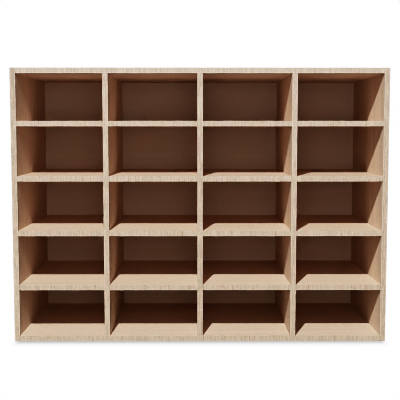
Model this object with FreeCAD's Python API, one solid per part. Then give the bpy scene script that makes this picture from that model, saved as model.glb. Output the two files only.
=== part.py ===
"""Paint rack organizer: an open-fronted wooden case of 20 compartments, 4 across and 5 high.

Millimetres. Origin at the centre of the footprint on the surface the case stands on: X to the right,
Y towards the back, Z up. The open front faces -Y.

The case is two full-height sides with the top and bottom panels dowelled between them. Inside it, three
upright dividers and four full-width shelves cross in halving joints, front half divider, back half shelf,
so each divider's front edge runs unbroken from bottom to top. The grid's ends sit in stopped housings in
the case. A thin back panel is pinned into a rebate. Every front edge carries a glued edge band.
"""

import os

import FreeCAD
import Part

# Driving dimensions
WIDTH = 610.0
HEIGHT = 446.0
DEPTH = 254.0
COLUMNS = 4
ROWS = 5
BOARD = 9.0  # thickness of every board

# Edge bands
BAND = 1.0  # band thickness

ARRIS = 0.4  # chamfer along the bands' long front edges and the case's outer edges
TOLERANCE = 1e-6  # for telling which plane an edge lies in

# Back panel and the rebate that holds it
BACK = 4.0  # panel thickness
REBATE_DEPTH = 5.0  # from the case's rear edges towards the front
REBATE_WIDTH = 5.0  # out of the board's own thickness
BACK_CLEARANCE = 0.5  # all round the panel

# Housings and halving joints
HOUSING = 3.0  # how far a board's end goes into its housing
STOP = 6.0  # a housing ends this far behind the board's front edge
SLIP = 0.05  # gap on each side of a board in its housing or slot

# Corner dowels
DOWEL_D = 5.0
DOWEL_LENGTH = 20.0
DOWEL_IN_SIDE = 6.0
DOWEL_ARRIS = 0.5
DOWEL_Y = (-95.0, 0.0, 95.0)
HOLE_SPARE = 0.5  # room left at each end of a dowel, for glue

# Panel pins
PIN_D = 1.2
PIN_LENGTH = 14.0
PIN_TIP = 1.6  # length of the point
PIN_HEAD_D = 2.6
PIN_HEAD = 0.5

# Worked out from the dimensions above
PITCH_X = WIDTH / COLUMNS
PITCH_Z = HEIGHT / ROWS
FRONT = -DEPTH / 2.0
CORE_FRONT = FRONT + BAND  # front edge of the boards, behind their bands
REAR = DEPTH / 2.0
GRID_REAR = REAR - REBATE_DEPTH  # back panel's front face, where the grid ends
CROSS_Y = (CORE_FRONT + GRID_REAR) / 2.0  # where the two halves of a halving joint meet
INNER_X = WIDTH / 2.0 - BOARD  # inner face of a side
INNER_LOW = BOARD  # upper face of the bottom panel
INNER_HIGH = HEIGHT - BOARD  # underside of the top panel
DIVIDER_X = [-WIDTH / 2.0 + PITCH_X * i for i in range(1, COLUMNS)]
SHELF_Z = [PITCH_Z * i for i in range(ROWS - 1, 0, -1)]  # mid-thickness, from the top shelf down
DIVIDER_NAMES = ("left", "centre", "right")
SIDE_NAMES = {-1: "left", 1: "right"}


def block(x0, x1, y0, y1, z0, z1):
    """A box from its two opposite corners."""
    return Part.makeBox(x1 - x0, y1 - y0, z1 - z0, FreeCAD.Vector(x0, y0, z0))


def cut_all(shape, tools):
    """The shape with every tool taken away."""
    return shape.cut(Part.makeCompound(tools)).removeSplitter()


def on_outer_edge(box):
    """Whether an edge with this bounding box lies where two of the case's outer faces meet."""
    faces = (
        box.XMax < -WIDTH / 2.0 + TOLERANCE or box.XMin > WIDTH / 2.0 - TOLERANCE,
        box.YMax < FRONT + TOLERANCE or box.YMin > REAR - TOLERANCE,
        box.ZMax < TOLERANCE or box.ZMin > HEIGHT - TOLERANCE,
    )
    return sum(faces) >= 2


def eased(board):
    """The board with the case's outer edges taken off."""
    return board.makeChamfer(ARRIS, [edge for edge in board.Edges if on_outer_edge(edge.BoundBox)])


def export(name, *shapes):
    """Writes one node: a single solid, or a group of separate ones."""
    shape = shapes[0] if len(shapes) == 1 else Part.makeCompound(list(shapes))
    shape.exportStep(os.path.join("parts", name + ".step"))


def dowel_hole(side, z, y):
    """The hole for one corner dowel, through a side panel's inner face into the end of a panel."""
    length = DOWEL_LENGTH + 2.0 * HOLE_SPARE
    start = side * (INNER_X + DOWEL_IN_SIDE + HOLE_SPARE)
    return Part.makeCylinder(DOWEL_D / 2.0, length, FreeCAD.Vector(start, y, z), FreeCAD.Vector(-side, 0, 0))


def dowel(side, z, y):
    """One corner dowel: a plain peg with chamfered ends."""
    start = side * (INNER_X + DOWEL_IN_SIDE)
    peg = Part.makeCylinder(
        DOWEL_D / 2.0, DOWEL_LENGTH, FreeCAD.Vector(start, y, z), FreeCAD.Vector(-side, 0, 0)
    )
    ends = [edge for edge in peg.Edges if len(edge.Vertexes) == 1]
    return peg.makeChamfer(DOWEL_ARRIS, ends)


def panel_levels():
    """Mid-thickness heights of the bottom and top panels."""
    return (BOARD / 2.0, HEIGHT - BOARD / 2.0)


def side_panel(side):
    """A full-height side: rebated at the back, housed for the shelves, bored for the corner dowels."""
    inner, outer = side * INNER_X, side * WIDTH / 2.0
    board = block(min(inner, outer), max(inner, outer), CORE_FRONT, REAR, 0.0, HEIGHT)
    ledge = side * (INNER_X + REBATE_WIDTH)
    rebate_ends = (BOARD - REBATE_WIDTH, HEIGHT - BOARD + REBATE_WIDTH)
    tools = [block(min(inner, ledge), max(inner, ledge), GRID_REAR, REAR, *rebate_ends)]
    groove = side * (INNER_X + HOUSING)
    half = BOARD / 2.0 + SLIP
    for z in SHELF_Z:
        x0, x1 = min(inner, groove), max(inner, groove)
        tools.append(block(x0, x1, CORE_FRONT + STOP - SLIP, GRID_REAR, z - half, z + half))
    tools += [dowel_hole(side, z, y) for z in panel_levels() for y in DOWEL_Y]
    return eased(cut_all(board, tools))


def end_panel(low):
    """The bottom (low) or top panel: rebated at the back, housed for the dividers, bored at its ends."""
    z0, z1 = (0.0, BOARD) if low else (HEIGHT - BOARD, HEIGHT)
    board = block(-INNER_X, INNER_X, CORE_FRONT, REAR, z0, z1)
    inner, away = (z1, -1.0) if low else (z0, 1.0)
    ledge, groove = inner + away * REBATE_WIDTH, inner + away * HOUSING
    tools = [block(-INNER_X, INNER_X, GRID_REAR, REAR, min(inner, ledge), max(inner, ledge))]
    half = BOARD / 2.0 + SLIP
    for x in DIVIDER_X:
        z_range = (min(inner, groove), max(inner, groove))
        tools.append(block(x - half, x + half, CORE_FRONT + STOP - SLIP, GRID_REAR, *z_range))
    level = (z0 + z1) / 2.0
    tools += [dowel_hole(side, level, y) for side in SIDE_NAMES for y in DOWEL_Y]
    return eased(cut_all(board, tools))


def divider(x):
    """An upright divider, slotted from the back for each shelf."""
    x0, x1 = x - BOARD / 2.0, x + BOARD / 2.0
    reach = HOUSING - SLIP
    z0, z1 = INNER_LOW - reach, INNER_HIGH + reach
    board = block(x0, x1, CORE_FRONT, GRID_REAR, z0, z1)
    notch_rear = CORE_FRONT + STOP
    tools = [
        block(x0, x1, CORE_FRONT, notch_rear, z0, INNER_LOW),
        block(x0, x1, CORE_FRONT, notch_rear, INNER_HIGH, z1),
    ]
    half = BOARD / 2.0 + SLIP
    tools += [block(x0, x1, CROSS_Y - SLIP, GRID_REAR, z - half, z + half) for z in SHELF_Z]
    return cut_all(board, tools)


def shelf(z):
    """A full-width shelf, slotted from the front for each divider."""
    z0, z1 = z - BOARD / 2.0, z + BOARD / 2.0
    end = INNER_X + HOUSING - SLIP
    board = block(-end, end, CORE_FRONT, GRID_REAR, z0, z1)
    notch_rear = CORE_FRONT + STOP
    tools = [
        block(-end, -INNER_X, CORE_FRONT, notch_rear, z0, z1),
        block(INNER_X, end, CORE_FRONT, notch_rear, z0, z1),
    ]
    half = BOARD / 2.0 + SLIP
    tools += [block(x - half, x + half, CORE_FRONT, CROSS_Y + SLIP, z0, z1) for x in DIVIDER_X]
    return cut_all(board, tools)


def back_panel():
    """The thin panel that closes the back, a little smaller than its rebate."""
    half_width = INNER_X + REBATE_WIDTH - BACK_CLEARANCE
    low = BOARD - REBATE_WIDTH + BACK_CLEARANCE
    panel = block(-half_width, half_width, GRID_REAR, GRID_REAR + BACK, low, HEIGHT - low)
    return cut_all(panel, [pin(x, z) for x, z in pin_places()])


def edge_band(x0, x1, z0, z1):
    """A glued strip over a front edge, eased along its two long front corners and the case's outer edges."""
    strip = block(x0, x1, FRONT, CORE_FRONT, z0, z1)
    long_side = max(x1 - x0, z1 - z0)
    chosen = []
    for edge in strip.Edges:
        long_front = abs(edge.Length - long_side) < TOLERANCE and edge.BoundBox.YMax < FRONT + TOLERANCE
        if long_front or on_outer_edge(edge.BoundBox):
            chosen.append(edge)
    return strip.makeChamfer(ARRIS, chosen)


def pin_places():
    """Where the panel pins go, as (x, z): round the rebate's ledge and down each divider."""
    mid_x = [-WIDTH / 2.0 + PITCH_X * (i + 0.5) for i in range(COLUMNS)]
    mid_z = [PITCH_Z * (i + 0.5) for i in range(ROWS)]
    ledge_x = INNER_X + REBATE_WIDTH / 2.0
    ledge_z = REBATE_WIDTH / 2.0
    places = [(x, z) for x in (-ledge_x, ledge_x) for z in mid_z]
    places += [(x, z) for x in mid_x for z in (INNER_LOW - ledge_z, INNER_HIGH + ledge_z)]
    places += [(x, z) for x in DIVIDER_X for z in mid_z]
    return places


def pin(x, z):
    """A panel pin driven from the back, its head flush with the panel."""
    rear = GRID_REAR + BACK
    forward = FreeCAD.Vector(0, -1, 0)
    head = Part.makeCylinder(PIN_HEAD_D / 2.0, PIN_HEAD, FreeCAD.Vector(x, rear, z), forward)
    shank_length = PIN_LENGTH - PIN_TIP
    shank = Part.makeCylinder(PIN_D / 2.0, shank_length, FreeCAD.Vector(x, rear, z), forward)
    tip = Part.makeCone(PIN_D / 2.0, 0.0, PIN_TIP, FreeCAD.Vector(x, rear - shank_length, z), forward)
    return head.fuse([shank, tip]).removeSplitter()


def with_pin_holes(board):
    """The board with a hole for each pin that reaches into it."""
    return cut_all(board, [pin(x, z) for x, z in pin_places()])


def build_case():
    for side, name in SIDE_NAMES.items():
        export(f"side_panel_{name}", with_pin_holes(side_panel(side)))
    export("bottom_panel", with_pin_holes(end_panel(low=True)))
    export("top_panel", with_pin_holes(end_panel(low=False)))
    export("back_panel", back_panel())


def build_grid():
    for x, name in zip(DIVIDER_X, DIVIDER_NAMES):
        export(f"divider_{name}", with_pin_holes(divider(x)))
    for number, z in enumerate(SHELF_Z, start=1):
        export(f"shelf_{number}", shelf(z))


def build_edge_bands():
    for side, name in SIDE_NAMES.items():
        inner, outer = side * INNER_X, side * WIDTH / 2.0
        export(f"edge_band_side_{name}", edge_band(min(inner, outer), max(inner, outer), 0.0, HEIGHT))
    export("edge_band_bottom", edge_band(-INNER_X, INNER_X, 0.0, INNER_LOW))
    export("edge_band_top", edge_band(-INNER_X, INNER_X, INNER_HIGH, HEIGHT))
    half = BOARD / 2.0
    for x, name in zip(DIVIDER_X, DIVIDER_NAMES):
        export(f"edge_band_divider_{name}", edge_band(x - half, x + half, INNER_LOW, INNER_HIGH))
    left_ends = [-INNER_X] + [x + half for x in DIVIDER_X]
    right_ends = [x - half for x in DIVIDER_X] + [INNER_X]
    for number, z in enumerate(SHELF_Z, start=1):
        for column, (x0, x1) in enumerate(zip(left_ends, right_ends), start=1):
            export(f"edge_band_shelf_{number}_column_{column}", edge_band(x0, x1, z - half, z + half))


def build_fasteners():
    pegs = [dowel(side, z, y) for side in SIDE_NAMES for z in panel_levels() for y in DOWEL_Y]
    export("corner_dowels", *pegs)
    export("back_panel_pins", *[pin(x, z) for x, z in pin_places()])


os.makedirs("parts", exist_ok=True)
build_case()
build_grid()
build_edge_bands()
build_fasteners()
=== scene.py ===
"""Looks for the paint rack organizer: a light oak case of 20 compartments, in a white studio.

Metres, in the CAD frame: X to the right, Y from the open front towards the back, Z up. Every shape is
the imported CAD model's own; this script gives each board, edge band, dowel and pin its material, and adds
the lights, the white sweep and the camera.
"""

import math
import random
import bpy
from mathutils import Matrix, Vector


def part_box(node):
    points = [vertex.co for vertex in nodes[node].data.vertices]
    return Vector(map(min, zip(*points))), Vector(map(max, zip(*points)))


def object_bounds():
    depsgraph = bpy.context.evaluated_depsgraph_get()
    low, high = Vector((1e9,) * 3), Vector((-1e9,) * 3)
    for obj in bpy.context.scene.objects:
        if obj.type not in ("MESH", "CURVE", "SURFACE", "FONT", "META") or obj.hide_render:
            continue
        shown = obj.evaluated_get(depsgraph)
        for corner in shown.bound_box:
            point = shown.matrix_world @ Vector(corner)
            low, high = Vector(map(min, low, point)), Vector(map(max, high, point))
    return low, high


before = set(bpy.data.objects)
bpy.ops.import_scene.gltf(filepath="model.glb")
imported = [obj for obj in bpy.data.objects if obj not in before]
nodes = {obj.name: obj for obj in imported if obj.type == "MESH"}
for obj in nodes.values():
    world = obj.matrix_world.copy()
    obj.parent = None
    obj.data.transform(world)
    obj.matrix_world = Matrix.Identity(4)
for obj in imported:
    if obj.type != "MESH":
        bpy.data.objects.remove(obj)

cad_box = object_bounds()
front, rear = cad_box[0].y, cad_box[1].y
height = cad_box[1].z
scene = bpy.context.scene

X, Y, Z = 0, 1, 2

# Camera: a long lens a little above the middle of the case, looking slightly down
CAMERA_FROM_FRONT = 1.285
CAMERA_HEIGHT = 0.3437
CAMERA_X = -0.0054
CAMERA_PITCH = 4.907  # degrees below the horizon
CAMERA_TURN = -0.235  # degrees
CAMERA_LENS = 71.50  # mm, on a sensor 36 mm wide
SENSOR = 36.0

# Key light: small, high on the left, in front
KEY_X = -0.229
KEY_FROM_FRONT = 1.167
KEY_HEIGHT = 1.137
KEY_RADIUS = 0.013
KEY_STRENGTH = 46.7  # the light doesn't fall off with distance
LAMP_TINT = (1.0, 1.04, 1.0)  # a touch of green in every lamp but the fill

# Soft fill from beside the camera
FILL_X = 0.015
FILL_FROM_FRONT = 1.373
FILL_HEIGHT = 0.40
FILL_SIZE = 0.5
FILL_WATTS = 1.54

# Lamps behind the open front, which light only the outside of the case: place, size and watts
OUTSIDE_LAMPS = {
    "left_side": ((-1.5, 0.5, 0.9), 1.2, 20.0),
    "right_side": ((1.5, 0.5, 0.9), 1.2, 20.0),
    "rear": ((0.4, 1.9, 1.1), 1.4, 26.0),
}

AMBIENT = 0.0325
SOFT_TINT = (1.0, 0.93, 0.88)  # the fill and the ambient light are a little warm
LIGHT_BOUNCES = 12  # enough for the deep, warm light at the back of the compartments

# White sweep, and the shadow on it around the case: a dark rim and a faint tail, as (darkness, width)
WHITE = 1.0  # radiance of the sweep and the background
FLOOR_HALF = 6.0
SHADOW_RIM = (0.41, 0.0213)
SHADOW_TAIL = (0.155, 0.0425)
SHADOW_INSET = 0.0088  # the shadow is drawn in by this much at the sides of the case
SHADOW_SQUEEZE = 2.7  # how many times narrower it is beside the case than in front of it

# How light is shown, as on film: deep shadows, and highlights that level off
EXPOSURE = 1.70
SHOULDER = 0.92
SHOULDER_BEND = 2.87
CONTRAST = 1.42
CURVE_POINTS = 14
CURVE_REACH = 0.70  # above this the picture runs straight up to white
COMBINED = 3  # index of the view curve that acts on all three colours
PIXEL_BLUR = 1.0  # width of the filter over the pixels

# Wood colours, linear
UPRIGHT_TINT = (0.645, 0.492, 0.385)
LEVEL_TINT = (0.665, 0.499, 0.395)
BACK_TINT = (0.715, 0.58, 0.455)
BAND_TINT = (0.524, 0.402, 0.334)
FOOT_TONE = (1.0, 0.98, 0.93)  # the edge bands are yellower towards the foot
TICK_TINT = (0.346, 0.234, 0.168)
PLY_LONG = (0.66, 0.483, 0.35)
PLY_END = (0.40, 0.262, 0.17)
BEECH = ((0.58, 0.42, 0.27), (0.72, 0.55, 0.38))
STEEL = ((0.20, 0.20, 0.21), (0.42, 0.41, 0.40))
# How far each colour moves, as (red, green, blue), when a tint is shifted by 1
PINK_SHIFT = (0.35, -0.45, 0.25)
BLUE_SHIFT = (0.0, 0.2, 1.0)
BAND_HUES = 0.035  # how far the edge bands vary towards pink and away from it
VENEER_HUES = 0.025  # how far the veneer varies towards blue and away from it

# Painted light and shade: boards made lighter or darker than the rest, at the foot of the case and at its
# top, standing in for how the light falls on them
PAINTED_BOARD_LIGHT = {
    "shelf_2": (1.04, 1.04),
    "shelf_3": (1.06, 1.06),
    "bottom_panel": (0.97, 0.97),
    "side_panel_left": (1.0, 1.02),
    "divider_left": (0.93, 1.15),
    "divider_right": (0.98, 1.09),
    "back_panel": (1.10, 0.97),
}
# The same painted light and shade for their edge bands
PAINTED_BAND_LIGHT = {
    "side_left": (1.05, 0.81),
    "side_right": (0.95, 0.91),
    "divider_centre": (0.94, 0.98),
}

# Every pattern is noise, which lies around 0.5: features to the metre along the grain and across it, then
# its detail and roughness
SWAY = (3.0, 9.0, 1.0, 0.5)
DRIFT = (2.0, 14.0, 1.0, 0.5)
FIGURE_BANDS = (1.6, 115.0, 4.0, 0.65)
FIGURE_LINES = (5.0, 420.0, 2.0, 0.5)
FIGURE_FLECKS = (170.0, 90.0, 1.0, 0.5)
FIBRES = (60.0, 950.0, 3.0, 0.65)
VENEER_HUE = (4.0, 380.0, 2.0, 0.5)
PORES = (90.0, 1700.0, 1.0, 0.5)
PLY_WOBBLE = (60.0, 60.0, 2.0, 0.5)
PLY_SPECKLE = (1500.0, 1500.0, 2.0, 0.5)
BAND_TICKS = (70.0, 540.0, 1.0, 0.5)
BAND_FLECKS = (300.0, 420.0, 1.0, 0.5)
BAND_PATCHES = (12.0, 45.0, 1.0, 0.5)
BAND_HUE = (25.0, 300.0, 1.0, 0.5)
DOWEL_FIBRES = (40.0, 1800.0, 3.0, 0.5)
PIN_PATCHES = (900.0, 900.0, 3.0, 0.5)
PIN_SCUFFS = (900.0, 9000.0, 1.0, 0.5)

# The levels of noise between which a pattern turns from one thing into the other
SOFT = (0.3, 0.7)
HUE_TURN = (0.35, 0.65)
PORE_TURN = (0.60, 0.70)
PORE_GROUND = (0.42, 0.62)  # there are pores only where the figure's bands are over this
BAND_TURN = (0.28, 0.72)
TICK_TURN = (0.53, 0.73)
CLUSTER_TURN = (0.38, 0.62)
ROUGHNESS_TURN = (0.2, 0.8)

# Veneer: the contrast of its figure, how far the grain wanders, and how much darker the pores are
UPRIGHT_FIGURE = 0.045
LEVEL_FIGURE = 0.035
BACK_FIGURE = 0.013
GRAIN_SWAY = 0.012
PORE_WEIGHT = -6.0
FIBRE_HEIGHT = 0.5  # how high the fibres stand, against how deep the pores are
# How strongly the drift, bands, lines, flecks and fibres of the figure show. The bands run the other way.
FIGURE_WEIGHTS = (0.5, -1.4, 1.0, 0.7, 1.0)

# Cut edges: the number of plies, how wavy they are, where one turns into the next, and their speckle
PLIES = 7
PLY_WAVINESS = 0.5
PLY_TURN = (-0.05, 0.55)
PLY_END_SPECKLE = (0.75, 1.25)
PLY_LONG_SPECKLE = (0.92, 1.06)
# A face counts as the board's outer one, or as a cut edge, by how squarely it looks through the board
OUTER_FACE = (0.3, 0.7)
CUT_EDGE = (0.85, 0.75)

# Edge bands, by the axis across the band: streaks to the metre, and how strong its flecks are
STREAKS = {X: 400.0, Z: 560.0}
STREAK_LENGTH = 40.0  # features to the metre along the grain
STREAK_NOISE = (2.0, 0.6)  # detail and roughness
STREAK_SWING = 0.15
PATCH_SWING = 0.03
FLECKS = {X: 0.11, Z: 0.05}
# How strong their ticks are: on uprights, on level boards, and on the level boards where they are fainter
UPRIGHT_TICKS = 0.4
LEVEL_TICKS = 0.85
FAINT_TICKS = {"top": 0.35, "shelf_1": 0.7}
TICK_SPREAD = 0.6  # how much fainter the ticks are between their clusters
# Distances from the middle of a band: its face is painted paler towards the corners, a painted highlight,
# and the chamfered corners are painted darker, a painted shade
# Painted highlight: where the paler rim starts and ends, and how much paler it is
PAINTED_HIGHLIGHT_START, PAINTED_HIGHLIGHT_END = 0.0027, 0.0036
PAINTED_HIGHLIGHT_LIFT = 0.24
# Painted shade on the chamfered corners: where it starts and ends, and how dark it is
ARRIS_START, ARRIS_END = 0.0040, 0.0042
PAINTED_ARRIS_SHADE = 0.6

# Finish: the boards are waxed, not varnished
SHEEN = 0.12
BOARD_ROUGHNESS = (0.50, 0.62)
BAND_ROUGHNESS = (0.52, 0.64)
DOWEL_ROUGHNESS = 0.6
PIN_ROUGHNESS = (0.28, 0.5)
# Depth of the relief
BOARD_RELIEF = 0.00006
BAND_RELIEF = 0.00008
DOWEL_RELIEF = 0.00004
PIN_RELIEF = 0.00002

# First of the random seeds that give each piece its own figure, and how far a seed can shift it
BOARD_SEED = 10
BAND_SEED = 40
DOWEL_SEED = 90
SEED_REACH = 4.0


class Graph:
    """A node tree that is written as chained calls. Values are sockets, numbers or colours."""

    def __init__(self, tree):
        self.tree = tree
        tree.nodes.clear()

    def plug(self, socket, value):
        """Links a socket to an input, or sets the input to a number or colour."""
        if isinstance(value, bpy.types.NodeSocket):
            self.tree.links.new(value, socket)
        elif isinstance(value, tuple) and len(value) == 3 and socket.type == "RGBA":
            socket.default_value = (*value, 1.0)
        else:
            socket.default_value = value

    def node(self, kind, inputs=(), **settings):
        """Adds a node, sets its options, and fills its inputs, given as (name or index, value)."""
        made = self.tree.nodes.new(kind)
        for option, value in settings.items():
            setattr(made, option, value)
        for key, value in inputs:
            self.plug(made.inputs[key], value)
        return made

    def math(self, operation, *values):
        return self.node("ShaderNodeMath", enumerate(values), operation=operation).outputs[0]

    def combine(self, values):
        return self.node("ShaderNodeCombineXYZ", enumerate(values)).outputs[0]

    def axes(self, source="Object"):
        """The three parts of a texture coordinate: the place in metres, or the direction a face looks."""
        vector = self.node("ShaderNodeTexCoord").outputs[source]
        return self.node("ShaderNodeSeparateXYZ", ((0, vector),)).outputs

    def noise(self, space, along, across, detail, roughness):
        """Noise around 0.5, with so many features to the metre along the space's first axis and across."""
        counts = (along, across, across)
        place = self.combine([self.math("MULTIPLY", value, count) for value, count in zip(space, counts)])
        inputs = (("Vector", place), ("Scale", 1.0), ("Detail", detail), ("Roughness", roughness))
        return self.node("ShaderNodeTexNoise", inputs).outputs["Fac"]

    def step(self, value, low, high, to_low=0.0, to_high=1.0):
        """A smooth step from to_low to to_high as value goes from low to high."""
        ends = (("From Min", low), ("From Max", high), ("To Min", to_low), ("To Max", to_high))
        inputs = (("Value", value), *ends)
        return self.node("ShaderNodeMapRange", inputs, interpolation_type="SMOOTHSTEP").outputs[0]

    def swing(self, value, turn, amount):
        """A shade that goes from 1 - amount to 1 + amount as value crosses the turn."""
        return self.step(value, *turn, 1.0 - amount, 1.0 + amount)

    def mix(self, factor, a, b, blend="MIX"):
        """Colour a, or b where factor is 1."""
        made = self.node("ShaderNodeMix", data_type="RGBA", blend_type=blend)
        for identifier, value in (("Factor_Float", factor), ("A_Color", a), ("B_Color", b)):
            self.plug(next(s for s in made.inputs if s.identifier == identifier), value)
        return next(s for s in made.outputs if s.identifier == "Result_Color")

    def shaded(self, colour, shade):
        """The colour times a grey."""
        return self.mix(1.0, colour, self.combine((shade, shade, shade)), blend="MULTIPLY")


def new_material(name):
    material = bpy.data.materials.new(name)
    material.use_nodes = True
    return material, Graph(material.node_tree)


def finish_surface(graph, colour, roughness, relief, depth, **extra):
    """Joins colour, roughness and bump into one Principled surface."""
    bump = graph.node("ShaderNodeBump", (("Strength", 1.0), ("Distance", depth), ("Height", relief)))
    inputs = [("Base Color", colour), ("Roughness", roughness), ("Normal", bump.outputs[0])]
    inputs += [(key.replace("_", " "), value) for key, value in extra.items()]
    surface = graph.node("ShaderNodeBsdfPrincipled", inputs)
    graph.node("ShaderNodeOutputMaterial", (("Surface", surface.outputs[0]),))


def grain_space(graph, axes, grain, through, seed):
    """(along the grain, across it, through the board) in metres, shifted by the seed."""
    draw = random.Random(seed)
    across = ({X, Y, Z} - {grain, through}).pop()
    shifts = [(axis, draw.uniform(-SEED_REACH, SEED_REACH)) for axis in (grain, across, through)]
    return [graph.math("ADD", axes[axis], shift) for axis, shift in shifts]


def scaled(tint, factor):
    return tuple(min(1.0, channel * factor) for channel in tint)


def shifted(tint, shift, amount):
    return tuple(channel * (1.0 + part * amount) for channel, part in zip(tint, shift))


def two_hues(graph, pattern, tint, shift, amount):
    """The tint, shifted back where the pattern is low and forth where it is high."""
    ends = (shifted(tint, shift, -amount), shifted(tint, shift, amount))
    return graph.mix(graph.step(pattern, *HUE_TURN), *ends)


def painted_light_by_height(graph, axes, painted_light):
    """Painted light and shade: a lightness going evenly from its first value at the foot of the case to
    its second at the top.
    """
    foot, top = painted_light
    return graph.math("MULTIPLY_ADD", graph.math("DIVIDE", axes[Z], height), top - foot, foot)


def wood_figure(graph, space, tint, contrast, shade):
    """(colour, relief, fibres) of a veneered face: soft bands, fine fibres and short pores."""
    along, across, through = space
    sway = graph.math("SUBTRACT", graph.noise(space, *SWAY), 0.5)
    space = (along, graph.math("MULTIPLY_ADD", sway, GRAIN_SWAY, across), through)
    drift = graph.noise(space, *DRIFT)
    bands = graph.noise(space, *FIGURE_BANDS)
    lines = graph.noise(space, *FIGURE_LINES)
    flecks = graph.noise(space, *FIGURE_FLECKS)
    fibres = graph.noise(space, *FIBRES)
    pores = graph.step(graph.noise(space, *PORES), *PORE_TURN)
    open_pores = graph.math("MULTIPLY", pores, graph.step(bands, *PORE_GROUND))

    colour = two_hues(graph, graph.noise(space, *VENEER_HUE), tint, BLUE_SHIFT, VENEER_HUES)
    for pattern, weight in zip((drift, bands, lines, flecks, fibres), FIGURE_WEIGHTS):
        shade = graph.math("MULTIPLY", shade, graph.swing(pattern, SOFT, weight * contrast))
    pore_shade = graph.math("MULTIPLY_ADD", open_pores, PORE_WEIGHT * contrast, 1.0)
    colour = graph.shaded(colour, graph.math("MULTIPLY", shade, pore_shade))
    relief = graph.math("MULTIPLY_ADD", open_pores, -1.0, graph.math("MULTIPLY", fibres, FIBRE_HEIGHT))
    return colour, relief, fibres


def ply_edge(graph, axes, depth):
    """(colour, relief) of a cut edge: plies of long and end grain in turn. Depth goes from 0 to 1."""
    wave = graph.math("SINE", graph.math("MULTIPLY", depth, PLIES * math.pi))
    wobble = graph.noise(axes, *PLY_WOBBLE)
    layer = graph.step(graph.math("MULTIPLY_ADD", wobble, PLY_WAVINESS, wave), *PLY_TURN)
    speckle = graph.noise(axes, *PLY_SPECKLE)
    grain = graph.step(speckle, *SOFT)
    end_grain = graph.mix(grain, *(scaled(PLY_END, factor) for factor in PLY_END_SPECKLE))
    long_grain = graph.mix(grain, *(scaled(PLY_LONG, factor) for factor in PLY_LONG_SPECKLE))
    relief = graph.math("MULTIPLY", graph.math("ADD", layer, speckle), 0.5)
    return graph.mix(layer, end_grain, long_grain), relief


def board_material(name, grain, through, tint, contrast, seed, outer=None):
    """A veneered board, with plies on its cut edges. Its outer face can have its own (tint, contrast)."""
    material, graph = new_material("veneer_" + name)
    low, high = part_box(name)
    axes = graph.axes()
    space = grain_space(graph, axes, grain, through, seed)
    # Painted light and shade, graded from the foot of the case to its top
    painted_light = painted_light_by_height(graph, axes, PAINTED_BOARD_LIGHT.get(name, (1.0, 1.0)))
    colour, relief, fibres = wood_figure(graph, space, tint, contrast, painted_light)
    facing = graph.axes("Normal")[through]
    if outer is not None:
        outer_colour = wood_figure(graph, space, *outer, painted_light)[0]
        colour = graph.mix(graph.step(facing, *OUTER_FACE), colour, outer_colour)
    thickness = high[through] - low[through]
    depth = graph.math("DIVIDE", graph.math("SUBTRACT", axes[through], low[through]), thickness)
    cut_colour, cut_relief = ply_edge(graph, axes, depth)
    is_edge = graph.step(graph.math("ABSOLUTE", facing), *CUT_EDGE)
    colour = graph.mix(is_edge, colour, cut_colour)
    relief = graph.math("MULTIPLY_ADD", is_edge, graph.math("SUBTRACT", cut_relief, relief), relief)
    roughness = graph.step(fibres, *ROUGHNESS_TURN, *BOARD_ROUGHNESS)
    finish_surface(graph, colour, roughness, relief, BOARD_RELIEF, Specular_IOR_Level=SHEEN)
    return material


def band_material(board, through, middle, seed):
    """A cross-grained edge band: upright streaks and ticks, whichever way the band runs, with painted
    light and shade along its height and on its corners.
    """
    material, graph = new_material("band_" + board)
    axes = graph.axes()
    space = grain_space(graph, axes, Z, Y, seed)
    streaks = graph.noise(space, STREAK_LENGTH, STREAKS[through], *STREAK_NOISE)
    ticks = graph.noise(space, *BAND_TICKS)
    flecks = graph.noise(space, *BAND_FLECKS)
    patches = graph.noise(space, *BAND_PATCHES)

    colour = two_hues(graph, graph.noise(space, *BAND_HUE), BAND_TINT, PINK_SHIFT, BAND_HUES)
    tick_strength = UPRIGHT_TICKS if through == X else FAINT_TICKS.get(board, LEVEL_TICKS)
    clusters = graph.step(patches, *CLUSTER_TURN, tick_strength * (1.0 - TICK_SPREAD), tick_strength)
    colour = graph.mix(graph.step(ticks, *TICK_TURN, 0.0, clusters), colour, TICK_TINT)
    foot_tone = graph.mix(graph.math("DIVIDE", axes[Z], height), FOOT_TONE, (1.0, 1.0, 1.0))
    colour = graph.mix(1.0, colour, foot_tone, blend="MULTIPLY")

    # Painted light and shade along the band's height, then its streaks, flecks and patches
    shade = painted_light_by_height(graph, axes, PAINTED_BAND_LIGHT.get(board, (1.0, 1.0)))
    for pattern, amount in ((streaks, STREAK_SWING), (flecks, FLECKS[through]), (patches, PATCH_SWING)):
        shade = graph.math("MULTIPLY", shade, graph.swing(pattern, BAND_TURN, amount))
    # Painted highlight and painted shade: paler towards the long corners and darker on the chamfers, on
    # both corners of an upright band, but only under a level one
    outward = graph.math("SUBTRACT", middle, axes[through])
    if through == X:
        outward = graph.math("ABSOLUTE", outward)
    painted_highlight = graph.step(outward, PAINTED_HIGHLIGHT_START, PAINTED_HIGHLIGHT_END, 1.0, 1.0 + PAINTED_HIGHLIGHT_LIFT)
    painted_arris_shade = graph.step(outward, ARRIS_START, ARRIS_END, 1.0, PAINTED_ARRIS_SHADE)
    shade = graph.math("MULTIPLY", shade, graph.math("MULTIPLY", painted_highlight, painted_arris_shade))
    roughness = graph.step(streaks, *ROUGHNESS_TURN, *BAND_ROUGHNESS)
    colour = graph.shaded(colour, shade)
    finish_surface(graph, colour, roughness, streaks, BAND_RELIEF, Specular_IOR_Level=SHEEN)
    return material


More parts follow.
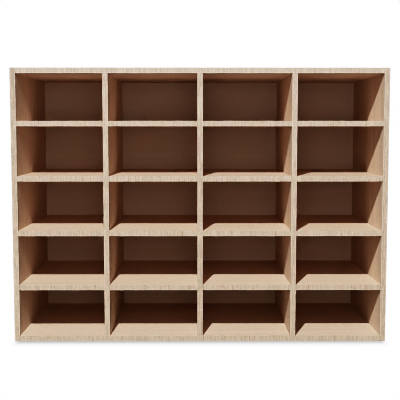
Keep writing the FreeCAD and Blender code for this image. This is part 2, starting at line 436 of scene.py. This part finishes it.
def dowel_material():
    """Beech pegs, with fine fibres along them."""
    material, graph = new_material("dowel_beech")
    space = grain_space(graph, graph.axes(), X, Z, DOWEL_SEED)
    fibres = graph.noise(space, *DOWEL_FIBRES)
    colour = graph.mix(graph.step(fibres, *SOFT), *BEECH)
    finish_surface(graph, colour, DOWEL_ROUGHNESS, fibres, DOWEL_RELIEF)
    return material


def pin_material():
    """Bright steel, with fine scuffs and dull patches."""
    material, graph = new_material("pin_steel")
    axes = graph.axes()
    patches = graph.noise(axes, *PIN_PATCHES)
    scuffs = graph.noise(axes, *PIN_SCUFFS)
    roughness = graph.step(scuffs, *SOFT, *PIN_ROUGHNESS)
    finish_surface(graph, graph.mix(patches, *STEEL), roughness, scuffs, PIN_RELIEF, Metallic=1.0)
    return material


def dress(name, material):
    """Gives every slot of a CAD node's object the material."""
    for slot in nodes[name].material_slots:
        slot.material = material


def dress_case():
    """Gives the boards, dowels and pins their materials."""
    for seed, name in enumerate(sorted(nodes), start=BOARD_SEED):
        if name.startswith(("side_panel", "divider")):
            dress(name, board_material(name, Z, X, UPRIGHT_TINT, UPRIGHT_FIGURE, seed))
        elif name.startswith(("shelf", "top_panel", "bottom_panel")):
            dress(name, board_material(name, X, Z, LEVEL_TINT, LEVEL_FIGURE, seed))
        elif name == "back_panel":
            outside = (LEVEL_TINT, LEVEL_FIGURE)
            dress(name, board_material(name, X, Y, BACK_TINT, BACK_FIGURE, seed, outer=outside))
    dress("corner_dowels", dowel_material())
    dress("back_panel_pins", pin_material())


def dress_edge_bands():
    """One strip of band to each board, so that the four pieces along a shelf share a material."""
    strips = {}
    for name in sorted(nodes):
        if not name.startswith("edge_band"):
            continue
        board = name.split("_column")[0].replace("edge_band_", "")
        if board not in strips:
            low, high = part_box(name)
            through = X if high.x - low.x < high.z - low.z else Z
            middle = (low[through] + high[through]) / 2.0
            strips[board] = band_material(board, through, middle, BAND_SEED + len(strips))
        dress(name, strips[board])


def add_object(name, data, place=(0.0, 0.0, 0.0), look_at=None):
    made = bpy.data.objects.new(name, data)
    made.location = place
    if look_at is not None:
        made.rotation_euler = (Vector(look_at) - Vector(place)).to_track_quat("-Z", "Y").to_euler()
    scene.collection.objects.link(made)
    return made


def add_key_light():
    """A small lamp whose light keeps its strength with distance, so the case is lit evenly all over."""
    lamp = bpy.data.lights.new("key", "POINT")
    lamp.energy = 1.0
    lamp.shadow_soft_size = KEY_RADIUS
    lamp.use_nodes = True
    graph = Graph(lamp.node_tree)
    falloff = graph.node("ShaderNodeLightFalloff", (("Strength", KEY_STRENGTH),))
    inputs = (("Color", LAMP_TINT), ("Strength", falloff.outputs["Constant"]))
    glow = graph.node("ShaderNodeEmission", inputs)
    graph.node("ShaderNodeOutputLight", (("Surface", glow.outputs[0]),))
    add_object("key", lamp, (KEY_X, front - KEY_FROM_FRONT, KEY_HEIGHT))


def add_area_light(name, place, size, watts, tint):
    """A square lamp that looks at the middle of the case."""
    lamp = bpy.data.lights.new(name, "AREA")
    lamp.shape = "SQUARE"
    lamp.size = size
    lamp.energy = watts
    lamp.color = tint
    add_object(name, lamp, place, (0.0, 0.0, height / 2.0))


def add_lights():
    add_key_light()
    beside_camera = (FILL_X, front - FILL_FROM_FRONT, FILL_HEIGHT)
    add_area_light("fill", beside_camera, FILL_SIZE, FILL_WATTS, SOFT_TINT)
    for name, (place, size, watts) in OUTSIDE_LAMPS.items():
        add_area_light(name, place, size, watts, LAMP_TINT)


def add_world():
    """White as seen by the camera, and a dim even light on everything else."""
    world = bpy.data.worlds.new("studio")
    scene.world = world
    world.use_nodes = True
    graph = Graph(world.node_tree)
    seen = graph.node("ShaderNodeLightPath").outputs["Is Camera Ray"]
    light = graph.mix(seen, scaled(SOFT_TINT, AMBIENT), (WHITE, WHITE, WHITE))
    sky = graph.node("ShaderNodeBackground", (("Color", light), ("Strength", 1.0)))
    graph.node("ShaderNodeOutputWorld", (("Surface", sky.outputs[0]),))


def sweep_material():
    """White that glows evenly, with a thin soft shadow around the foot of the case."""
    material, graph = new_material("white_sweep")
    axes = graph.axes()
    side = cad_box[1].x - SHADOW_INSET
    beside = graph.math("MAXIMUM", graph.math("SUBTRACT", graph.math("ABSOLUTE", axes[X]), side), 0.0)
    ahead = graph.math("MAXIMUM", graph.math("SUBTRACT", graph.math("ABSOLUTE", axes[Y]), rear), 0.0)
    beside = graph.math("MULTIPLY", beside, SHADOW_SQUEEZE)
    ahead_squared = graph.math("MULTIPLY", ahead, ahead)
    distance = graph.math("SQRT", graph.math("MULTIPLY_ADD", beside, beside, ahead_squared))
    shade = WHITE
    for darkness, width in (SHADOW_RIM, SHADOW_TAIL):
        shade = graph.math("SUBTRACT", shade, graph.step(distance, 0.0, width, darkness, 0.0))
    glow = graph.node("ShaderNodeEmission", (("Color", (1.0, 1.0, 1.0)), ("Strength", shade)))
    graph.node("ShaderNodeOutputMaterial", (("Surface", glow.outputs[0]),))
    return material


def add_floor():
    """The white sweep. It is only seen: it casts no light or shadow on the case."""
    mesh = bpy.data.meshes.new("floor")
    corners = [(x * FLOOR_HALF, y * FLOOR_HALF, 0.0) for x, y in ((-1, -1), (1, -1), (1, 1), (-1, 1))]
    mesh.from_pydata(corners, [], [(0, 1, 2, 3)])
    mesh.materials.append(sweep_material())
    floor = add_object("floor", mesh)
    floor.visible_diffuse = False
    floor.visible_glossy = False
    floor.visible_shadow = False


def add_camera():
    lens = bpy.data.cameras.new("camera")
    lens.lens = CAMERA_LENS
    lens.sensor_width = SENSOR
    camera = add_object("camera", lens, (CAMERA_X, front - CAMERA_FROM_FRONT, CAMERA_HEIGHT))
    camera.rotation_euler = (math.radians(90.0 - CAMERA_PITCH), 0.0, math.radians(CAMERA_TURN))
    scene.camera = camera


def shown(light):
    """How bright a light from 0 to 1 is shown. White, which is 1, stays white."""
    exposed = light * EXPOSURE
    levelled = exposed / (1.0 + (exposed / SHOULDER) ** SHOULDER_BEND) ** (1.0 / SHOULDER_BEND)
    return levelled ** CONTRAST


def set_display():
    scene.view_settings.view_transform = "Standard"
    scene.view_settings.look = "None"
    scene.view_settings.use_curve_mapping = True
    mapping = scene.view_settings.curve_mapping
    mapping.extend = "HORIZONTAL"
    for step in range(1, CURVE_POINTS + 1):
        light = CURVE_REACH * (step / CURVE_POINTS) ** 2
        mapping.curves[COMBINED].points.new(light, shown(light))
    mapping.update()
    scene.cycles.filter_width = PIXEL_BLUR
    scene.cycles.max_bounces = LIGHT_BOUNCES
    scene.cycles.diffuse_bounces = LIGHT_BOUNCES


dress_case()
dress_edge_bands()
add_lights()
add_world()
add_floor()
add_camera()
set_display()
